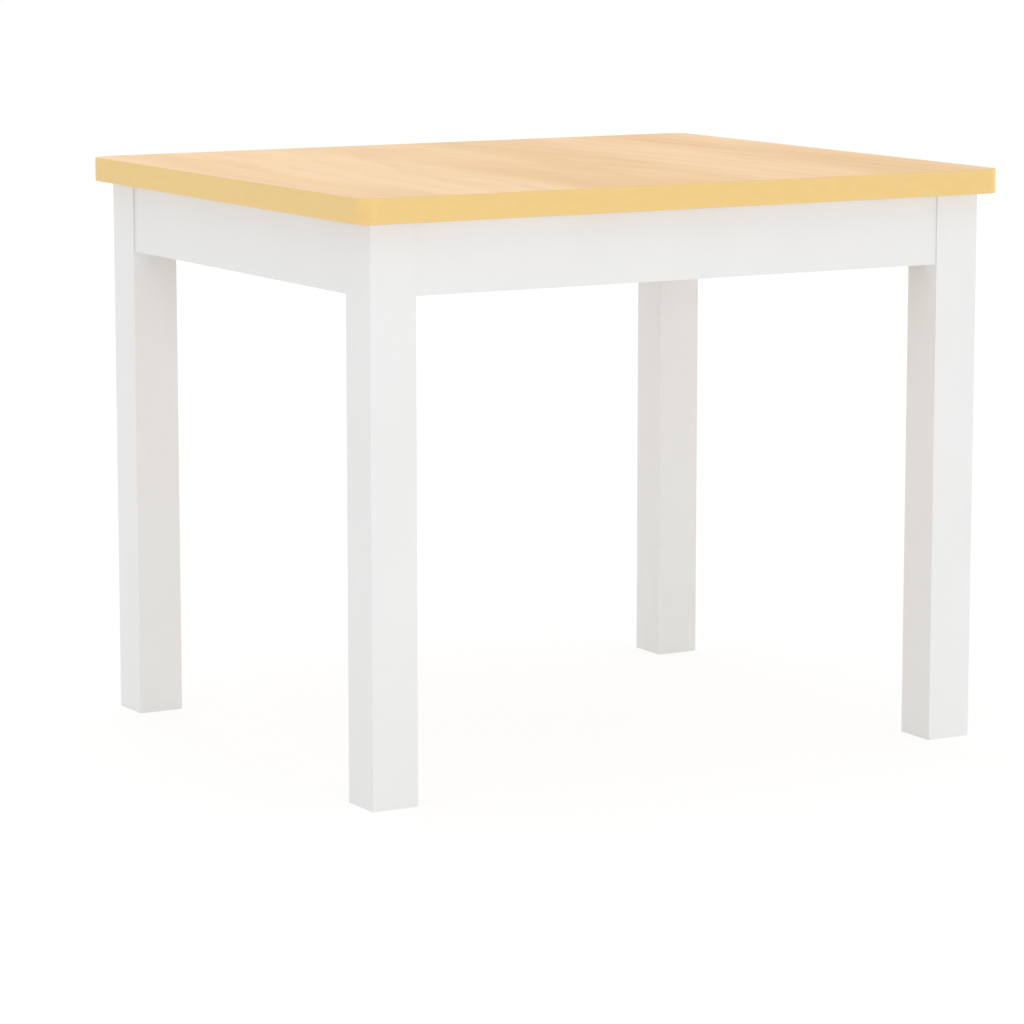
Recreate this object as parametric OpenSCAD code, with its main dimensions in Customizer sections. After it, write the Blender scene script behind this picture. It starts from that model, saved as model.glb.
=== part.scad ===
// A small rectangular children's table, in millimetres.
//
// A laminated board with a banded edge rests on four square legs and an apron
// frame. Behind each leg a bent steel plate hooks into the two aprons, and a
// hanger bolt through it pulls the leg tight against their ends. Six small
// steel angles hold the top down.
//
// The origin is on the floor under the middle of the top. +X runs to the right
// along the long side, +Y to the rear and +Z up.

/* [Table] */
// Length of the top, from left to right
table_w = 600; // [500:10:900]
// Depth of the top, from front to rear
table_d = 500; // [400:10:700]
// Height of the top's upper face above the floor
table_h = 480; // [380:10:600]

/* [Top] */
// Thickness of the finished top
top_t = 20; // [18:1:28]
// Radius of the top's corners, seen from above
corner_r = 15; // [4:1:30]
// Thickness of the laminate on each face
laminate_t = 0.8; // [0.5:0.1:1.2]
// Thickness of the band round the edge
band_t = 2; // [1:0.5:3]
// Width of the seam where the band's two ends meet
band_seam = 0.2; // [0.1:0.1:0.5]
// How far the top stands out past the legs
overhang = 15; // [0:1:40]

/* [Legs] */
// Side of each square leg
leg_w = 40; // [36:1:50]
// Radius along a leg's upright corners
leg_corner_r = 1; // [0.5:0.5:3]
// Width of the flat on the inner corner, where the bolt enters
leg_flat_w = 12; // [10:1:16]
// Height of that flat, down from the leg's top
leg_flat_h = 54; // [50:1:60]

/* [Aprons] */
// Height of each apron
apron_h = 58; // [54:1:80]
// Thickness of each apron
apron_t = 15; // [14:1:18]
// How far each apron is set back from the legs' outer faces
apron_setback = 1.5; // [0:0.5:4]
// Radius along an apron's long edges
apron_edge_r = 1; // [0.5:0.5:3]

/* [Corner joints] */
// Thickness of the corner plates
plate_t = 2; // [1.5:0.5:2.5]
// Height of the corner plates
plate_h = 40; // [34:1:44]
// Clear space between a leg's flat and its plate
plate_gap = 14; // [10:1:16]
// Width of a plate's wing, along its apron
wing_w = 30; // [24:1:40]
// Depth that a wing's lip reaches into its apron
lip_depth = 8; // [5:0.5:8]
// Diameter of the hanger bolts
bolt_d = 6; // [5:0.5:6]
// Length of the hanger bolts
bolt_l = 60; // [58:1:68]
// Length of bolt that is screwed into the leg
bolt_in_leg = 32; // [24:1:34]

/* [Top brackets] */
// Thickness of the steel angles
bracket_t = 2; // [1.5:0.5:2.5]
// Length of each arm of an angle
bracket_arm = 25; // [20:1:30]
// Width of an angle
bracket_w = 17; // [15:1:25]
// Distance of the long sides' angles from the middle
bracket_x = 110; // [60:5:120]

/* [Screws] */
// Diameter of the wood screws
screw_d = 3.5; // [3:0.5:4]
// Length of the screws that go into the aprons
apron_screw_l = 14; // [12:1:14]
// Length of the screws that go up into the top
top_screw_l = 16; // [12:1:18]

/* [Hidden] */
$fn = 64;

// Colours
BEECH = [0.95, 0.82, 0.67];
BAND = [0.93, 0.80, 0.56];
FIBREBOARD = [0.66, 0.52, 0.38];
WHITE_PAINT = [0.94, 0.94, 0.93];
ZINC = [0.72, 0.73, 0.75];

// Small clearances
fit_gap = 0.05;      // round a screw or bolt in its hole, on the radius
cut_over = 1;        // how far a cut runs past the face that it starts from
kerf_slack = 1;      // a kerf's width beyond the lip's thickness
kerf_extra = 0.5;    // a kerf's depth beyond the lip's

// The underside of the top, which is where the legs and aprons end
leg_h = table_h - top_t;

// The legs' inner faces and the aprons' outer and inner faces, from the middle
leg_in_x = table_w / 2 - overhang - leg_w;
leg_in_y = table_d / 2 - overhang - leg_w;
apron_out_x = leg_in_x + leg_w - apron_setback;
apron_out_y = leg_in_y + leg_w - apron_setback;
apron_in_x = apron_out_x - apron_t;
apron_in_y = apron_out_y - apron_t;
apron_z = leg_h - apron_h;

// Corner joint. Its own frame starts at the leg's inner corner, with +X and +Y
// along the two aprons, towards the middle of the table. Distances along the
// joint's diagonal are counted from that corner, away from the leg.
face = apron_setback + apron_t - leg_w;      // the aprons' inner faces
joint_z = apron_z + apron_h / 2;             // height of the bolt
flat_s = -leg_flat_w / 2;                    // the leg's flat, on the diagonal
plate_s = flat_s + plate_gap;                // the plate's leg side
washer_s = plate_s + plate_t;
bolt_s = flat_s - bolt_in_leg;               // the bolt's pointed end
near_sum = plate_s * sqrt(2);                // x + y on the plate's leg side
far_sum = (plate_s + plate_t) * sqrt(2);     // x + y on its other side
wing_start = near_sum - face;                // where the panel meets the apron
wing_end = wing_start + wing_w;
wing_mid = wing_end - wing_w / 2;
hole_margin = 9;                             // from a wing's holes to its edges
hole_dz = plate_h / 2 - hole_margin;         // the wing's holes, up and down

// Fasteners of the M6 size and the small pan-head screws
washer_t = 1.6;
washer_d = 2 * bolt_d;
washer_hole_d = bolt_d + 0.4;
spring_t = 1.4;
spring_d = bolt_d * 1.8;
spring_slot = 1;                     // the split in a spring washer
nut_flats = 10;
nut_h = 5;
bolt_point = 5;                      // length of a bolt's point
bolt_tip_d = 1;
bolt_hole_d = bolt_d + 0.5;
screw_hole_d = screw_d + 0.5;
screw_head_d = screw_d * 2;
screw_head_h = screw_d * 0.65;
screw_rim_h = screw_head_h * 0.55;   // the straight part of a head
screw_crown_d = screw_head_d * 0.6;  // the flat on a head
screw_point = screw_d;               // length of a screw's point
screw_tip_d = 0.6;

// The angle's holes, from the outer face of its other arm
bracket_hole = bracket_arm * 0.6;

// Each angle's place on an apron's inner face, and the turn that points it in
BRACKETS = [
    [-bracket_x, -apron_in_y, 0],
    [bracket_x, -apron_in_y, 0],
    [-bracket_x, apron_in_y, 180],
    [bracket_x, apron_in_y, 180],
    [-apron_in_x, 0, -90],
    [apron_in_x, 0, 90],
];

// ---- Shared shapes ----

// A rectangle with round corners, from its lower left corner
module rounded_rect(w, d, r) {
    translate([r, 0]) square([w - 2 * r, d]);
    translate([0, r]) square([w, d - 2 * r]);
    for (x = [r, w - r], y = [r, d - r]) translate([x, y]) circle(r);
}

// The top's outline, taken in by a margin
module top_outline(margin) {
    w = table_w - 2 * margin;
    d = table_d - 2 * margin;
    translate([-w / 2, -d / 2]) rounded_rect(w, d, corner_r - margin);
}

// One layer of the top inside the band, between two heights
module top_layer(z0, z1) {
    translate([0, 0, z0]) linear_extrude(z1 - z0) top_outline(band_t);
}

// A hole or rod along +Z, its diameter given
module rod(d, l) {
    cylinder(d = d, h = l);
}

// A pan-head wood screw: the head stands on z = 0 and the point is below
module wood_screw(l) {
    rod(screw_head_d, screw_rim_h);
    translate([0, 0, screw_rim_h])
        cylinder(d1 = screw_head_d, d2 = screw_crown_d, h = screw_head_h - screw_rim_h);
    translate([0, 0, -(l - screw_point)]) rod(screw_d, l - screw_point);
    translate([0, 0, -l]) cylinder(d1 = screw_tip_d, d2 = screw_d, h = screw_point);
}

// The hole that a wood screw goes into, below z = 0
module pilot_hole(l) {
    translate([0, 0, -l - fit_gap]) rod(screw_d + 2 * fit_gap, l + cut_over);
}

// ---- Placing ----

// From a corner joint's own frame to its place: sx is -1 on the left and 1 on
// the right, sy is -1 at the front and 1 at the rear
module at_corner(sx, sy) {
    mirror([sx > 0 ? 1 : 0, 0, 0])
        mirror([0, sy > 0 ? 1 : 0, 0])
            translate([-leg_in_x, -leg_in_y, 0])
                children();
}

module at_each_corner() {
    for (sx = [-1, 1], sy = [-1, 1]) at_corner(sx, sy) children();
}

// Along a joint's diagonal, s from the leg's inner corner, +Z away from the leg
module on_diagonal(s) {
    translate([0, 0, joint_z])
        rotate([0, 0, 45])
            translate([s, 0, 0])
                rotate([0, 90, 0])
                    children();
}

// The two holes of the wing on the apron along X, +Z out of the apron
module at_x_wing_holes() {
    for (dz = [-hole_dz, hole_dz])
        translate([wing_mid, face, joint_z + dz]) rotate([-90, 0, 0]) children();
}

// The same on the apron along Y
module at_y_wing_holes() {
    for (dz = [-hole_dz, hole_dz])
        translate([face, wing_mid, joint_z + dz]) rotate([0, 90, 0]) children();
}

// An angle's own frame: X along the apron, +Y away from it, z = 0 under the top
module at_bracket(place) {
    translate([place[0], place[1], leg_h]) rotate([0, 0, place[2]]) children();
}

// The angle's hole in the apron's arm, +Z out of the apron
module at_bracket_apron_hole() {
    translate([0, 0, -bracket_hole]) rotate([-90, 0, 0]) children();
}

// The angle's hole in the top's arm, +Z down out of the top
module at_bracket_top_hole() {
    translate([0, bracket_hole, 0]) rotate([180, 0, 0]) children();
}

module at_bracket_top_holes() {
    for (place = BRACKETS) at_bracket(place) at_bracket_top_hole() children();
}

// ---- Top ----

module top_core() {
    color(FIBREBOARD)
    difference() {
        top_layer(leg_h + laminate_t, table_h - laminate_t);
        at_bracket_top_holes() pilot_hole(top_screw_l - bracket_t);
    }
}

module top_laminate() {
    color(BEECH) top_layer(table_h - laminate_t, table_h);
}

module underside_laminate() {
    color(BEECH)
    difference() {
        top_layer(leg_h, leg_h + laminate_t);
        at_bracket_top_holes() pilot_hole(top_screw_l - bracket_t);
    }
}

// The band's ends meet in the middle of the rear edge
module edge_band() {
    color(BAND)
    translate([0, 0, leg_h])
    difference() {
        linear_extrude(top_t) difference() {
            top_outline(0);
            top_outline(band_t);
        }
        translate([-band_seam / 2, table_d / 2 - band_t - cut_over, -cut_over])
            cube([band_seam, band_t + 2 * cut_over, top_t + 2 * cut_over]);
    }
}

// ---- Legs and aprons ----

module leg(sx, sy) {
    flat_cut = leg_flat_w / sqrt(2);
    color(WHITE_PAINT)
    at_corner(sx, sy)
    difference() {
        translate([-leg_w, -leg_w, 0])
            linear_extrude(leg_h) rounded_rect(leg_w, leg_w, leg_corner_r);
        translate([0, 0, leg_h - leg_flat_h])
            linear_extrude(leg_flat_h + cut_over)
                polygon([
                    [-flat_cut, 0], [-flat_cut, cut_over], [cut_over, cut_over],
                    [cut_over, -flat_cut], [0, -flat_cut],
                ]);
        on_diagonal(bolt_s - cut_over)
            rod(bolt_d + 2 * fit_gap, bolt_in_leg + 2 * cut_over);
    }
}

// The saw cut, full height, that a corner plate's lip hooks into
module x_kerf() {
    translate([wing_end - plate_t, face - lip_depth - kerf_extra, apron_z - cut_over])
        cube([
            plate_t + kerf_slack,
            lip_depth + kerf_extra + cut_over,
            apron_h + 2 * cut_over,
        ]);
}

module y_kerf() {
    mirror([1, -1, 0]) x_kerf();
}

// A board on edge along X, from x = -l / 2, its outer face on y = 0
module apron_board(l) {
    translate([-l / 2, 0, apron_z])
        rotate([90, 0, 90])
            linear_extrude(l) rounded_rect(apron_t, apron_h, apron_edge_r);
}

// An apron along X: sy is -1 at the front and 1 at the rear
module long_apron(sy) {
    color(WHITE_PAINT)
    mirror([0, sy > 0 ? 1 : 0, 0])
    difference() {
        translate([0, -apron_out_y, 0]) apron_board(2 * leg_in_x);
        for (sx = [-1, 1]) at_corner(sx, -1) {
            x_kerf();
            at_x_wing_holes() pilot_hole(apron_screw_l - plate_t);
        }
        for (i = [0, 1]) at_bracket(BRACKETS[i])
            at_bracket_apron_hole() pilot_hole(apron_screw_l - bracket_t);
    }
}

// An apron along Y: sx is -1 on the left and 1 on the right
module short_apron(sx) {
    color(WHITE_PAINT)
    mirror([sx > 0 ? 1 : 0, 0, 0])
    difference() {
        translate([-apron_out_x, 0, 0]) rotate([0, 0, -90]) apron_board(2 * leg_in_y);
        for (sy = [-1, 1]) at_corner(-1, sy) {
            y_kerf();
            at_y_wing_holes() pilot_hole(apron_screw_l - plate_t);
        }
        at_bracket(BRACKETS[4])
            at_bracket_apron_hole() pilot_hole(apron_screw_l - bracket_t);
    }
}

// ---- Corner joints ----

// Half of a plate's outline from above, from the panel's leg side round the wing
// and its lip to the panel's other side
HALF_PLATE = [
    [wing_start, face],
    [wing_end - plate_t, face],
    [wing_end - plate_t, face - lip_depth],
    [wing_end, face - lip_depth],
    [wing_end, face + plate_t],
    [far_sum - face - plate_t, face + plate_t],
];

// The other half is the same, seen in the diagonal
module plate_outline() {
    last = len(HALF_PLATE) - 1;
    other_half = [for (i = [last:-1:0]) [HALF_PLATE[i][1], HALF_PLATE[i][0]]];
    polygon(concat(HALF_PLATE, other_half));
}

module corner_plate(sx, sy) {
    color(ZINC)
    at_corner(sx, sy)
    difference() {
        translate([0, 0, joint_z - plate_h / 2])
            linear_extrude(plate_h) plate_outline();
        on_diagonal(plate_s - cut_over) rod(bolt_hole_d, plate_t + 2 * cut_over);
        translate([0, -cut_over, 0])
            at_x_wing_holes() rod(screw_hole_d, plate_t + 2 * cut_over);
        translate([-cut_over, 0, 0])
            at_y_wing_holes() rod(screw_hole_d, plate_t + 2 * cut_over);
    }
}

// Half wood screw in the leg, half machine thread through the plate
module hanger_bolts() {
    color(ZINC)
    at_each_corner() on_diagonal(bolt_s) {
        cylinder(d1 = bolt_tip_d, d2 = bolt_d, h = bolt_point);
        translate([0, 0, bolt_point]) rod(bolt_d, bolt_l - bolt_point);
    }
}

module flat_washers() {
    color(ZINC)
    at_each_corner() on_diagonal(washer_s) difference() {
        rod(washer_d, washer_t);
        translate([0, 0, -cut_over]) rod(washer_hole_d, washer_t + 2 * cut_over);
    }
}

// A split ring under each nut
module spring_washers() {
    color(ZINC)
    at_each_corner() on_diagonal(washer_s + washer_t) difference() {
        rod(spring_d, spring_t);
        translate([0, 0, -cut_over]) rod(washer_hole_d, spring_t + 2 * cut_over);
        translate([-spring_slot / 2, 0, -cut_over])
            cube([spring_slot, spring_d, spring_t + 2 * cut_over]);
    }
}

module hex_nuts() {
    color(ZINC)
    at_each_corner() on_diagonal(washer_s + washer_t + spring_t) difference() {
        cylinder(d = nut_flats / cos(30), h = nut_h, $fn = 6);
        translate([0, 0, -cut_over])
            rod(bolt_d + 2 * fit_gap, nut_h + 2 * cut_over);
    }
}

module plate_screws() {
    color(ZINC)
    at_each_corner() {
        translate([0, plate_t, 0]) at_x_wing_holes() wood_screw(apron_screw_l);
        translate([plate_t, 0, 0]) at_y_wing_holes() wood_screw(apron_screw_l);
    }
}

// ---- Angles that hold the top ----

module top_bracket(place) {
    color(ZINC)
    at_bracket(place)
    difference() {
        union() {
            translate([-bracket_w / 2, 0, -bracket_arm])
                cube([bracket_w, bracket_t, bracket_arm]);
            translate([-bracket_w / 2, 0, -bracket_t])
                cube([bracket_w, bracket_arm, bracket_t]);
        }
        translate([0, -cut_over, 0])
            at_bracket_apron_hole() rod(screw_hole_d, bracket_t + 2 * cut_over);
        translate([0, 0, cut_over])
            at_bracket_top_hole() rod(screw_hole_d, bracket_t + 2 * cut_over);
    }
}

module bracket_apron_screws() {
    color(ZINC)
    for (place = BRACKETS) at_bracket(place) translate([0, bracket_t, 0])
        at_bracket_apron_hole() wood_screw(apron_screw_l);
}

module bracket_top_screws() {
    color(ZINC)
    for (place = BRACKETS) at_bracket(place) translate([0, 0, -bracket_t])
        at_bracket_top_hole() wood_screw(top_screw_l);
}

top_core();
top_laminate();
underside_laminate();
edge_band();
leg(-1, -1);  // leg_front_left
leg(1, -1);  // leg_front_right
leg(-1, 1);  // leg_rear_left
leg(1, 1);  // leg_rear_right
long_apron(-1);  // apron_front
long_apron(1);  // apron_rear
short_apron(-1);  // apron_left
short_apron(1);  // apron_right
corner_plate(-1, -1);  // corner_plate_front_left
corner_plate(1, -1);  // corner_plate_front_right
corner_plate(-1, 1);  // corner_plate_rear_left
corner_plate(1, 1);  // corner_plate_rear_right
hanger_bolts();
flat_washers();
spring_washers();
hex_nuts();
plate_screws();
top_bracket(BRACKETS[0]);  // top_bracket_front_left
top_bracket(BRACKETS[1]);  // top_bracket_front_right
top_bracket(BRACKETS[2]);  // top_bracket_rear_left
top_bracket(BRACKETS[3]);  // top_bracket_rear_right
top_bracket(BRACKETS[4]);  // top_bracket_left
top_bracket(BRACKETS[5]);  // top_bracket_right
bracket_apron_screws();
bracket_top_screws();
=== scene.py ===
import math

import bmesh
import bpy
from mathutils import Matrix, Vector


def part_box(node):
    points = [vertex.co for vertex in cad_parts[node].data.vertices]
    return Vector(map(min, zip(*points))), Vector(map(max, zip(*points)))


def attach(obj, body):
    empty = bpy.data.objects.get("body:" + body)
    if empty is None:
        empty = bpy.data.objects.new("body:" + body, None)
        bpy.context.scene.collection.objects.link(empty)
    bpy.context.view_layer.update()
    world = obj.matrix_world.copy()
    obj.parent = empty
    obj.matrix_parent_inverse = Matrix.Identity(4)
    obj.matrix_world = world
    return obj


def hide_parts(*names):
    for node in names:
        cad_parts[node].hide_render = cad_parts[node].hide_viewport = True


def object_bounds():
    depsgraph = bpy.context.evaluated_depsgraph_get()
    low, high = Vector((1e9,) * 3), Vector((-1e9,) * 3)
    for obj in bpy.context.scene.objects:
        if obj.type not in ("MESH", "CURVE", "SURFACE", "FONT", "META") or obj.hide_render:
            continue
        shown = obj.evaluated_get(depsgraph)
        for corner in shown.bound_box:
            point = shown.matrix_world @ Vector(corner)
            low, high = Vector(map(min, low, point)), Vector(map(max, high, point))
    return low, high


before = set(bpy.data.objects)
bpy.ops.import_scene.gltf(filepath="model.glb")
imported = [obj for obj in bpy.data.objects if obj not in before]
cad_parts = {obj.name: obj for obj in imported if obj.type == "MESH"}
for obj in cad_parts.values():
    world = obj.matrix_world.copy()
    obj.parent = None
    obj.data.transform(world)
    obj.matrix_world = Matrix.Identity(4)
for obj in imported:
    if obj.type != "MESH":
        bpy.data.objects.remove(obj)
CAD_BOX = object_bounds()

# ---------------------------------------------------------------------------
# Sizes, in metres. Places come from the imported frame; these are the small
# shapes that the frame's plain solids leave out.
# ---------------------------------------------------------------------------
MM = 0.001
TINY = 1e-6  # lengths closer than this are the same
OVER = 1.0 * MM  # how far a cutter runs past what it cuts
SMOOTH_ANGLE = math.radians(32)  # an edge that turns by more is a sharp one

TOP_RADIUS = 15.0 * MM  # rounding of the top's corners, seen from above
CORNER_STEPS = 20  # segments in such a corner
JOINT_LINE = 0.12 * MM  # chamfer on each side of the laminate's joint
BAND_ROUND = 0.7 * MM  # rounding of the edge band's outer edges
BAND_ROUND_STEPS = 6
BAND_GAP = 0.2 * MM  # between the band's butted ends
BAND_END_EASE = 0.08 * MM

BOARD_EASE = 1.0 * MM  # rounding along the legs' and aprons' edges
BOARD_EASE_STEPS = 4
LEG_FLAT = 6.0 * MM  # how deep the flat cuts into a leg's inner corner
LEG_FLAT_H = 54.0 * MM  # how far down from the leg's top it runs
BORE_SPARE = 1.0 * MM  # depth of a leg's bore past the bolt's point

PLATE_T = 2.0 * MM
PLATE_WING = 30.0 * MM  # from the panel's bend to the lip
PLATE_HOLE_MARGIN = 9.0 * MM  # from a wing's long edges to its holes
PLATE_BEND = 3.0 * MM  # bend radius of the strip's middle, at the panel
LIP_BEND = 1.4 * MM
LIP_DEPTH = 8.0 * MM
KERF_W = 3.0 * MM  # the saw cut that takes a lip
KERF_DEPTH = 8.5 * MM
BRACKET_T = 2.0 * MM
BRACKET_BEND = 2.6 * MM
BRACKET_TIP = 3.0 * MM  # rounding of the arms' corners
BRACKET_TIP_STEPS = 6
METAL_EASE = 0.22 * MM  # rounding of cut steel edges
METAL_EASE_STEPS = 2
STEEL_HOLE_GAP = 0.25 * MM  # round a screw or bolt in steel

THREAD_STEPS = 28  # points round a thread
THREAD_ROOT_FLAT = 1.35  # the more it is over 1, the wider the flat between the ridges
THREAD_CREST_FLAT = 1.15  # and the flat on them
FIT_GAP = 0.05 * MM  # round a screw or bolt in its board
SCREW_R = 1.75 * MM
SCREW_HEAD_R = 3.5 * MM
SCREW_HEAD_H = 2.275 * MM
SCREW_PITCH = 1.35 * MM
SCREW_POINT = 4.0 * MM  # how far up the point tapers
SCREW_NECK = 1.2 * MM  # from the head to the thread
APRON_SCREW = 14.0 * MM
TOP_SCREW = 16.0 * MM
BOLT_R = 3.0 * MM
BOLT_LENGTH = 60.0 * MM
BOLT_IN_LEG = 32.0 * MM
BOLT_POINT = 6.0 * MM
WOOD_PITCH = 2.5 * MM  # of the bolt's end in the leg
NUT_PITCH = 1.0 * MM  # of its other end
WASHER_HOLE_R = 3.2 * MM
WASHER_R = 6.0 * MM
WASHER_T = 1.6 * MM
SPRING_R = 5.4 * MM
SPRING_T = 1.4 * MM
NUT_H = 5.0 * MM
NUT_FLATS = 10.0 * MM
NUT_MOUTH = 0.45 * MM  # the countersink at each end of the nut's bore
FLOOR_R = 60.0

# ---------------------------------------------------------------------------
# Places, from the frame
# ---------------------------------------------------------------------------
SIDES = {"left": -1, "right": 1}
ENDS = {"front": -1, "rear": 1}
CORNERS = [(e, s) for e in ENDS for s in SIDES]

leg_lo, leg_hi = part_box("leg_front_left")
apron_lo, apron_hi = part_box("apron_front")
plate_lo, plate_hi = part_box("corner_plate_front_left")
band_lo, band_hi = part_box("edge_band")
sheet_lo, sheet_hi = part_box("top_laminate")
under_lo, under_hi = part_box("underside_laminate")

LEG_TOP = leg_hi.z
INNER_X, INNER_Y = -leg_hi.x, -leg_hi.y  # the legs' inner corners, from the middle
FACE = apron_hi.y - leg_hi.y  # the aprons' inner faces, in a corner's own frame
JOINT_Z = (plate_lo.z + plate_hi.z) / 2
WING_END = plate_hi.x - leg_hi.x
WING_START = WING_END - PLATE_WING
WING_MID = WING_END - PLATE_WING / 2
HOLE_DZ = (plate_hi.z - plate_lo.z) / 2 - PLATE_HOLE_MARGIN
PLATE_S = (WING_START + FACE) / math.sqrt(2)  # along the diagonal, from the leg's corner
BAND_T = sheet_lo.x - band_lo.x
bracket_lo, bracket_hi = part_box("top_bracket_left")
BRACKET_ARM = bracket_hi.x - bracket_lo.x
BRACKET_W = bracket_hi.y - bracket_lo.y
BRACKET_HOLE = BRACKET_ARM * 0.6  # from an angle's outer corner to its holes
DIAGONAL = Vector((1, 1, 0)).normalized()  # away from the leg, in a corner's own frame
DOWN = Vector((0, 0, -1))


# ---------------------------------------------------------------------------
# Materials
# ---------------------------------------------------------------------------
class Graph:
    """A material's node tree, with short calls to add nodes and join them."""

    def __init__(self, name):
        self.material = bpy.data.materials.new(name)
        self.material.use_nodes = True
        self.tree = self.material.node_tree
        self.tree.nodes.clear()
        self.shader = self.add("ShaderNodeBsdfPrincipled")
        self.surface = self.add("ShaderNodeOutputMaterial").inputs["Surface"]
        self.put(self.surface, self.shader.outputs[0])
        self.place = self.add("ShaderNodeTexCoord").outputs["Object"]

    def add(self, kind, inputs=None, **settings):
        node = self.tree.nodes.new(kind)
        for key, value in settings.items():
            setattr(node, key, value)
        for key, value in (inputs or {}).items():
            self.put(node.inputs[key], value)
        return node

    def put(self, socket, value):
        if isinstance(value, bpy.types.NodeSocket):
            self.tree.links.new(value, socket)
        else:
            socket.default_value = value

    def set(self, **values):
        """Values or sockets for the shader's own sockets, underscores for spaces."""
        for key, value in values.items():
            self.put(self.shader.inputs[key.replace("_", " ")], value)

    def math(self, operation, a, b):
        return self.add("ShaderNodeMath", {0: a, 1: b}, operation=operation).outputs[0]

    def stretched(self, scale, shift=(0, 0, 0), source=None):
        """The place scaled on each axis, then shifted."""
        return self.add(
            "ShaderNodeMapping",
            {"Vector": source or self.place, "Scale": scale, "Location": shift},
        ).outputs[0]

    def noise(self, where, detail=2.0, roughness=0.5):
        return self.add(
            "ShaderNodeTexNoise",
            {"Vector": where, "Scale": 1.0, "Detail": detail, "Roughness": roughness},
        ).outputs["Fac"]

    def ramp(self, value, low, high, to_low=0.0, to_high=1.0, smooth=True):
        """A value's way from low to high, as a number from to_low to to_high."""
        return self.add(
            "ShaderNodeMapRange",
            {
                "Value": value,
                "From Min": low,
                "From Max": high,
                "To Min": to_low,
                "To Max": to_high,
            },
            interpolation_type="SMOOTHSTEP" if smooth else "LINEAR",
        ).outputs[0]

    def mix(self, amount, a, b, blend="MIX"):
        node = self.add("ShaderNodeMix", data_type="RGBA", blend_type=blend)
        self.put(node.inputs[0], amount)
        self.put(node.inputs[6], a)
        self.put(node.inputs[7], b)
        return node.outputs[2]

    def bump(self, height, distance, strength, normal=None):
        inputs = {"Height": height, "Distance": distance, "Strength": strength}
        if normal is not None:
            inputs["Normal"] = normal
        return self.add("ShaderNodeBump", inputs).outputs[0]


def bent_grain(g):
    """The place, with a slow sideways drift, so that the grain isn't quite straight."""
    bend = g.noise(g.stretched((2.2, 1.3, 1.0), (3.1, 1.7, 0.0)), 2.0)
    drift = g.math("MULTIPLY", g.math("SUBTRACT", bend, 0.5), 0.06)
    shift = g.add("ShaderNodeCombineXYZ", {"X": drift}).outputs[0]
    return g.add("ShaderNodeVectorMath", {0: g.place, 1: shift}, operation="ADD").outputs[0]


def growth_rings(g, along, cloud):
    """Rings of a trunk whose heart runs under the sheet on a slight slope.

    The sheet cuts them into straight lines at its sides and arches in its middle.
    """
    split = g.add("ShaderNodeSeparateXYZ", {0: along})
    across = g.math("ADD", split.outputs[0], 0.055)
    depth = g.math("ADD", g.math("MULTIPLY", split.outputs[1], 0.16), 0.125)
    trunk = g.add("ShaderNodeCombineXYZ", {"X": across, "Z": depth}).outputs[0]
    rings = g.add(
        "ShaderNodeTexWave",
        {
            "Vector": trunk,
            "Scale": 12.0,
            "Distortion": 3.0,
            "Detail": 3.0,
            "Detail Scale": 0.8,
            "Detail Roughness": 0.6,
        },
        wave_type="RINGS",
        rings_direction="Y",
        wave_profile="SAW",
    ).outputs["Fac"]
    late = g.math("MULTIPLY", g.ramp(rings, 0.30, 0.96), g.ramp(rings, 1.0, 0.97))
    return g.math("MULTIPLY", late, g.ramp(cloud, 0.38, 0.62, 0.15, 1.0))


def ray_flecks(g, along):
    """Short thin dashes along the grain, in part of the cells."""
    cells = g.add(
        "ShaderNodeTexVoronoi",
        {"Vector": g.stretched((930.0, 170.0, 1.0), (0, 0, 0), along), "Scale": 1.0},
        voronoi_dimensions="2D",
    )
    dash = g.ramp(cells.outputs["Distance"], 0.42, 0.06)
    chosen = g.add("ShaderNodeSeparateColor", {0: cells.outputs["Color"]}).outputs[0]
    return g.math("MULTIPLY", dash, g.ramp(chosen, 0.35, 0.95))


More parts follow.
